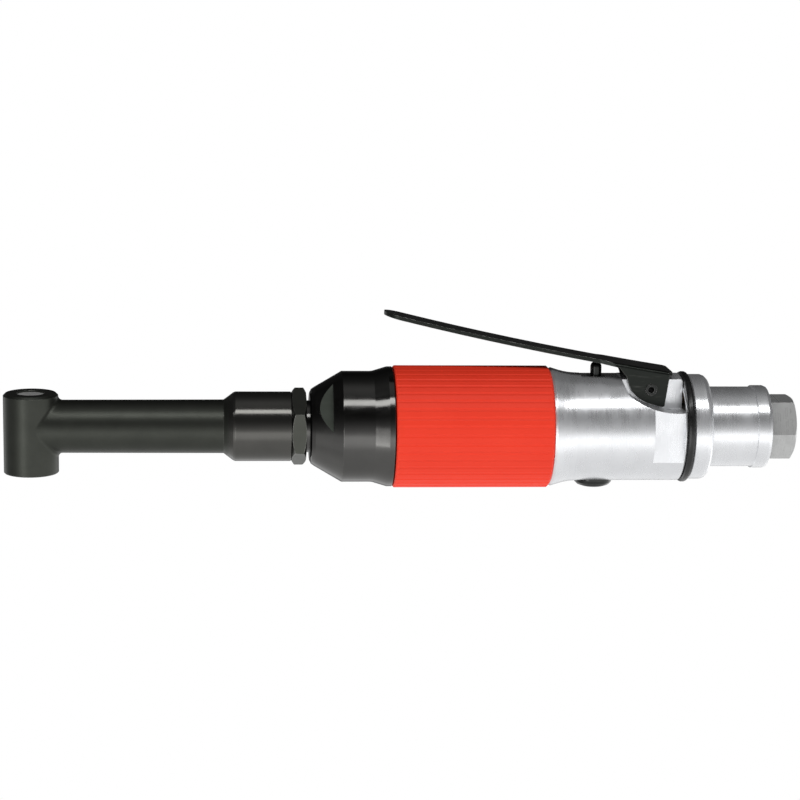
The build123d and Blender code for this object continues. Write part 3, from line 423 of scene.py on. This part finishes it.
FINISHES = {
    BLACK_OXIDE: ("angle_head_housing",),
    GLOSSY_BLACK: ("gear_housing", "spindle_retainer"),
    PLUG_BLACK: ("valve_plug",),
    NUT_BLACK: ("jam_nut",),
    LEVER_BLACK: ("lever",),
    HANDLE: ("motor_housing",),
    REAR_CAP: ("exhaust_cap",),
    END_PLATE: ("front_end_plate", "rear_end_plate"),
    INLET: ("inlet_bushing",),
    PIN_BLACK: ("lever_pin", "throttle_plunger", "plunger_guide"),
    BRIGHT: ("motor_dowel", "motor_washer", "pinion_shaft", "planet_pins"),
    BRIGHT_UPRIGHT: ("output_spindle",),
    GEAR: ("spindle_bevel_gear", "bevel_pinion", "ring_gear", "planet_carrier", "planet_gear_1",
           "planet_gear_2", "planet_gear_3", "sun_pinion", "motor_cylinder", "rotor"),
    GUIDE: ("valve_sleeve",),
    SPRING: ("valve_spring",),
    SCREEN: ("inlet_screen",),
    RED_GRIP: ("grip_sleeve",),
    RUBBER: ("cap_seal", "plug_seal", "poppet_seal"),
    TOP_PLUG: ("spindle_top_bush",),
    BRONZE: ("neck_bush",),
    SINTERED: ("muffler_ring",),
    VANE: ("rotor_vanes",),
}


def dress():
    """Gives every CAD node its finish; the bearings share the ground steel one."""
    chosen = {node: finish for finish, members in FINISHES.items() for node in members}
    for name, obj in NODES.items():
        finish = chosen.get(name, BRIGHT_UPRIGHT if name.startswith("spindle_") else BRIGHT)
        obj.data.materials.clear()
        obj.data.materials.append(finish)


dress()


# ------------------------------------------------------------------ coils

def make_coil(name, loops, finish, smooth):
    """A closed bar through these loops of points, each of the same number of corners."""
    corners = len(loops[0])
    bm = bmesh.new()
    rings = [[bm.verts.new(point) for point in loop] for loop in loops]
    for before, after in zip(rings, rings[1:]):
        for a in range(corners):
            b = (a + 1) % corners
            bm.faces.new((before[a], before[b], after[b], after[a]))
    bm.faces.new(reversed(rings[0]))
    bm.faces.new(rings[-1])
    bmesh.ops.recalc_face_normals(bm, faces=bm.faces)
    if smooth:
        for face in bm.faces:
            face.smooth = len(face.verts) == 4
    mesh = bpy.data.meshes.new(name)
    bm.to_mesh(mesh)
    bm.free()
    mesh.materials.append(finish)
    piece = bpy.data.objects.new(name, mesh)
    bpy.context.scene.collection.objects.link(piece)
    return piece


THREAD_STEPS = 40  # sections in each turn of a thread
FOOT_SINK = 0.05 * MM  # how far the foot of a ridge is sunk in the wall
FOOT_SHARE = 0.44  # half widths of a ridge at its foot and its crest, as shares of the pitch
CREST_SHARE = 0.07
FADED_SHARE = 0.02  # height left at the very end of a ridge, which keeps its faces apart


def make_thread(name, mouth, inwards, bore_r, pitch, depth, length, finish):
    """The ridge between the cuts of an internal thread, as a closed coil against the bore."""
    inwards = Vector(inwards)
    side = inwards.orthogonal().normalized()
    other = inwards.cross(side)
    foot_r = bore_r + FOOT_SINK
    crest_r = bore_r - depth
    section = ((foot_r, -FOOT_SHARE * pitch), (crest_r, -CREST_SHARE * pitch),
               (crest_r, CREST_SHARE * pitch), (foot_r, FOOT_SHARE * pitch))
    run_out = THREAD_STEPS // 2  # the ridge fades into the wall over half a turn at each end
    total = int(THREAD_STEPS * length / pitch)
    loops = []
    for step in range(total + 1):
        angle = 2 * pi * step / THREAD_STEPS
        away = side * cos(angle) + other * sin(angle)
        full = max(min(1.0, step / run_out, (total - step) / run_out), FADED_SHARE)
        loop = []
        for radius, offset in section:
            travel = 0.5 * pitch + pitch * step / THREAD_STEPS + offset
            reach = foot_r + (radius - foot_r) * full
            loop.append(Vector(mouth) + inwards * travel + away * reach)
        loops.append(loop)
    return make_coil(name, loops, finish, smooth=False)


MOUTH_TOLERANCE = 0.01 * MM


def mouth_radius(node, mouth, inwards):
    """Radius of the hole at a node's open end, from the node's points level with it."""
    mouth, inwards = Vector(mouth), Vector(inwards)
    rim = []
    for vertex in NODES[node].data.vertices:
        away = vertex.co - mouth
        if abs(away.dot(inwards)) < MOUTH_TOLERANCE:
            rim.append(away.length)
    return min(rim)


def add_thread(name, node, body, mouth, inwards, size, finish):
    """Adds a thread in the hole at the end of a node; size is its pitch, depth and length."""
    piece = make_thread(name, mouth, inwards, mouth_radius(node, mouth, inwards), *size, finish)
    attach(piece, body)


# Pitch, depth and length of the two threads: 28 turns an inch, and 18 turns an inch.
SPINDLE_THREAD = (0.907 * MM, 0.28 * MM, 6.4 * MM)
INLET_THREAD = (1.411 * MM, 0.45 * MM, 12.0 * MM)

add_thread("spindle_thread", "output_spindle", "spindle",
           (0, 0, 0), (0, 0, 1), SPINDLE_THREAD, BRIGHT_UPRIGHT)
add_thread("inlet_thread", "inlet_bushing", "tool_body",
           (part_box("inlet_bushing")[1].x, 0, AXIS_Z), (-1, 0, 0), INLET_THREAD, INLET)

SPRING_TURNS = 6
SPRING_STEPS = 28  # sections in each turn
WIRE_CORNERS = 10
WIRE_R = 0.4 * MM


def make_valve_spring():
    """Coil spring that stands on its lower end, in place of the CAD spring."""
    low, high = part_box("valve_spring")
    coil_r = (high.x - low.x) / 2 - WIRE_R
    centre = (low + high) / 2
    base, top = low.z + WIRE_R, high.z - WIRE_R
    total = SPRING_TURNS * SPRING_STEPS
    loops = []
    for step in range(total + 1):
        share = step / total
        angle = 2 * pi * SPRING_TURNS * share
        out = Vector((cos(angle), sin(angle), 0))
        middle = Vector((centre.x, centre.y, base + (top - base) * share)) + out * coil_r
        loop = []
        for corner in range(WIRE_CORNERS):
            turn = 2 * pi * corner / WIRE_CORNERS
            loop.append(middle + (out * cos(turn) + Vector((0, 0, sin(turn)))) * WIRE_R)
        loops.append(loop)
    coil = make_coil("valve_spring_coil", loops, SPRING, smooth=True)
    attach(coil, "tool_body")
    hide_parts("valve_spring")
    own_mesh(coil)


make_valve_spring()


# ------------------------------------------------------------------ stage, light and camera

FLOOR_DROP = 120 * MM  # the tool hangs clear of the floor, so it throws no shadow in view
FLOOR_REACH = 80.0
FLOOR_SQUARES = 8
AIM = Vector((113.64 * MM, 0.0, AXIS_Z + 8.30 * MM))
SIDE_ANGLE = radians(4.8)
DOWN_ANGLE = radians(10.5)
ROLL = 0.01624
DISTANCE = 714.4 * MM
LENS = 103.5  # focal length and film width in millimetres, as the camera counts them
FILM_WIDTH = 36.0
NEAR_END = 0.01
FAR_END = 300.0


def make_floor():
    """White paper that only the camera sees, and only from above."""
    mesh = bpy.data.meshes.new("floor")
    bm = bmesh.new()
    bmesh.ops.create_grid(bm, x_segments=FLOOR_SQUARES, y_segments=FLOOR_SQUARES,
                          size=FLOOR_REACH)
    bm.to_mesh(mesh)
    bm.free()
    floor = bpy.data.objects.new("floor", mesh)
    floor.location = (0, 0, CAD_BOX[0].z - FLOOR_DROP)
    bpy.context.scene.collection.objects.link(floor)
    material = bpy.data.materials.new("floor_paper")
    material.use_nodes = True
    tree = material.node_tree
    tree.nodes.clear()
    output = tree.nodes.new("ShaderNodeOutputMaterial")
    glow = tree.nodes.new("ShaderNodeEmission")
    clear = tree.nodes.new("ShaderNodeBsdfTransparent")
    side = tree.nodes.new("ShaderNodeNewGeometry")
    pick = tree.nodes.new("ShaderNodeMixShader")
    glow.inputs["Strength"].default_value = 1.0
    glow.inputs["Color"].default_value = (1, 1, 1, 1)
    tree.links.new(side.outputs["Backfacing"], pick.inputs[0])
    tree.links.new(glow.outputs[0], pick.inputs[1])
    tree.links.new(clear.outputs[0], pick.inputs[2])
    tree.links.new(pick.outputs[0], output.inputs["Surface"])
    mesh.materials.append(material)
    for ray in ("visible_diffuse", "visible_glossy", "visible_transmission",
                "visible_volume_scatter", "visible_shadow"):
        setattr(floor, ray, False)


# Brightness of the studio around the tool against height, from straight down (-90 degrees) to
# straight up (90): a bright sweep in front of the tool, dark walls, and a dim ceiling.
STUDIO = (
    (-90, 0.78), (-60, 0.84), (-40, 0.95), (-32, 1.30), (-15, 1.60), (-8, 1.05), (0, 0.54),
    (9, 0.29), (18, 0.12), (27, 0.035), (45, 0.02), (65, 0.08), (80, 0.24), (90, 0.30),
)

# The studio is darker behind the tool and beside its head. Each row is the part of a direction
# that says how far round it points, where the change starts and ends, and the shares of light.
DIM_SIDES = (("Y", 0.72, 0.93, 1.0, 0.12), ("X", -0.90, -0.60, 0.30, 1.0))


def make_studio():
    """Light from all round for the tool, and plain white for the camera."""
    world = bpy.data.worlds.new("studio")
    bpy.context.scene.world = world
    world.use_nodes = True
    tree = world.node_tree
    tree.nodes.clear()
    output = tree.nodes.new("ShaderNodeOutputWorld")
    place = tree.nodes.new("ShaderNodeTexCoord")
    split = tree.nodes.new("ShaderNodeSeparateXYZ")
    height = tree.nodes.new("ShaderNodeMath")
    height.operation = "ARCSINE"
    share = tree.nodes.new("ShaderNodeMapRange")
    share.inputs["From Min"].default_value = -pi / 2
    share.inputs["From Max"].default_value = pi / 2
    ramp = tree.nodes.new("ShaderNodeFloatCurve")
    curve = ramp.mapping.curves[0]
    top = max(level for _, level in STUDIO)
    points = [((angle + 90) / 180, level / top) for angle, level in STUDIO]
    curve.points[0].location = points[0]
    curve.points[1].location = points[-1]
    for at in points[1:-1]:
        curve.points.new(*at)
    ramp.mapping.update()
    lit = tree.nodes.new("ShaderNodeBackground")
    lit.inputs["Strength"].default_value = top
    seen = tree.nodes.new("ShaderNodeBackground")
    seen.inputs["Color"].default_value = (1, 1, 1, 1)
    path = tree.nodes.new("ShaderNodeLightPath")
    pick = tree.nodes.new("ShaderNodeMixShader")
    tree.links.new(place.outputs["Generated"], split.inputs[0])
    tree.links.new(split.outputs["Z"], height.inputs[0])
    tree.links.new(height.outputs[0], share.inputs["Value"])
    tree.links.new(share.outputs["Result"], ramp.inputs["Value"])
    brightness = ramp.outputs[0]
    for axis, *limits in DIM_SIDES:
        share_there = tree.nodes.new("ShaderNodeMapRange")
        share_there.interpolation_type = "SMOOTHSTEP"
        for name, value in zip(("From Min", "From Max", "To Min", "To Max"), limits):
            share_there.inputs[name].default_value = value
        dimmed = tree.nodes.new("ShaderNodeMath")
        dimmed.operation = "MULTIPLY"
        tree.links.new(split.outputs[axis], share_there.inputs["Value"])
        tree.links.new(brightness, dimmed.inputs[0])
        tree.links.new(share_there.outputs["Result"], dimmed.inputs[1])
        brightness = dimmed.outputs[0]
    tree.links.new(brightness, lit.inputs["Color"])
    tree.links.new(path.outputs["Is Camera Ray"], pick.inputs[0])
    tree.links.new(lit.outputs[0], pick.inputs[1])
    tree.links.new(seen.outputs[0], pick.inputs[2])
    tree.links.new(pick.outputs[0], output.inputs["Surface"])


KEY_RISE = radians(60)
TOOL_MIDDLE = Vector((113 * MM, 0, AXIS_Z))


def soft_light(name, direction, distance, width, height, radiance):
    """A rectangular softbox that faces the tool's middle."""
    light = bpy.data.lights.new(name, "AREA")
    light.shape = "RECTANGLE"
    light.size = width
    light.size_y = height
    light.energy = radiance * pi * width * height
    lamp = bpy.data.objects.new(name, light)
    away = Vector(direction).normalized()
    lamp.location = TOOL_MIDDLE + away * distance
    lamp.rotation_mode = "QUATERNION"
    lamp.rotation_quaternion = away.to_track_quat("Z", "Y")
    lamp.visible_camera = False
    bpy.context.scene.collection.objects.link(lamp)


def make_camera():
    """Looks at the tool from the -Y side, a little from the head's end and from above."""
    back = Vector((
        -sin(SIDE_ANGLE) * cos(DOWN_ANGLE), -cos(SIDE_ANGLE) * cos(DOWN_ANGLE), sin(DOWN_ANGLE),
    ))
    data = bpy.data.cameras.new("camera")
    data.lens = LENS
    data.sensor_width = FILM_WIDTH
    camera = bpy.data.objects.new("camera", data)
    camera.location = AIM + back * DISTANCE
    camera.rotation_mode = "QUATERNION"
    camera.rotation_quaternion = back.to_track_quat("Z", "Y") @ Quaternion((0, 0, 1), ROLL)
    data.clip_start = NEAR_END
    data.clip_end = FAR_END
    bpy.context.scene.collection.objects.link(camera)
    bpy.context.scene.camera = camera


make_floor()
make_studio()
soft_light("key_softbox", (0, -cos(KEY_RISE), sin(KEY_RISE)),
           distance=0.9, width=1.6, height=0.20, radiance=5.2)
soft_light("side_strip", (-0.563, -0.78, -0.19),
           distance=0.98, width=0.20, height=0.6, radiance=2.6)
make_camera()
bpy.context.scene.view_settings.view_transform = "Standard"
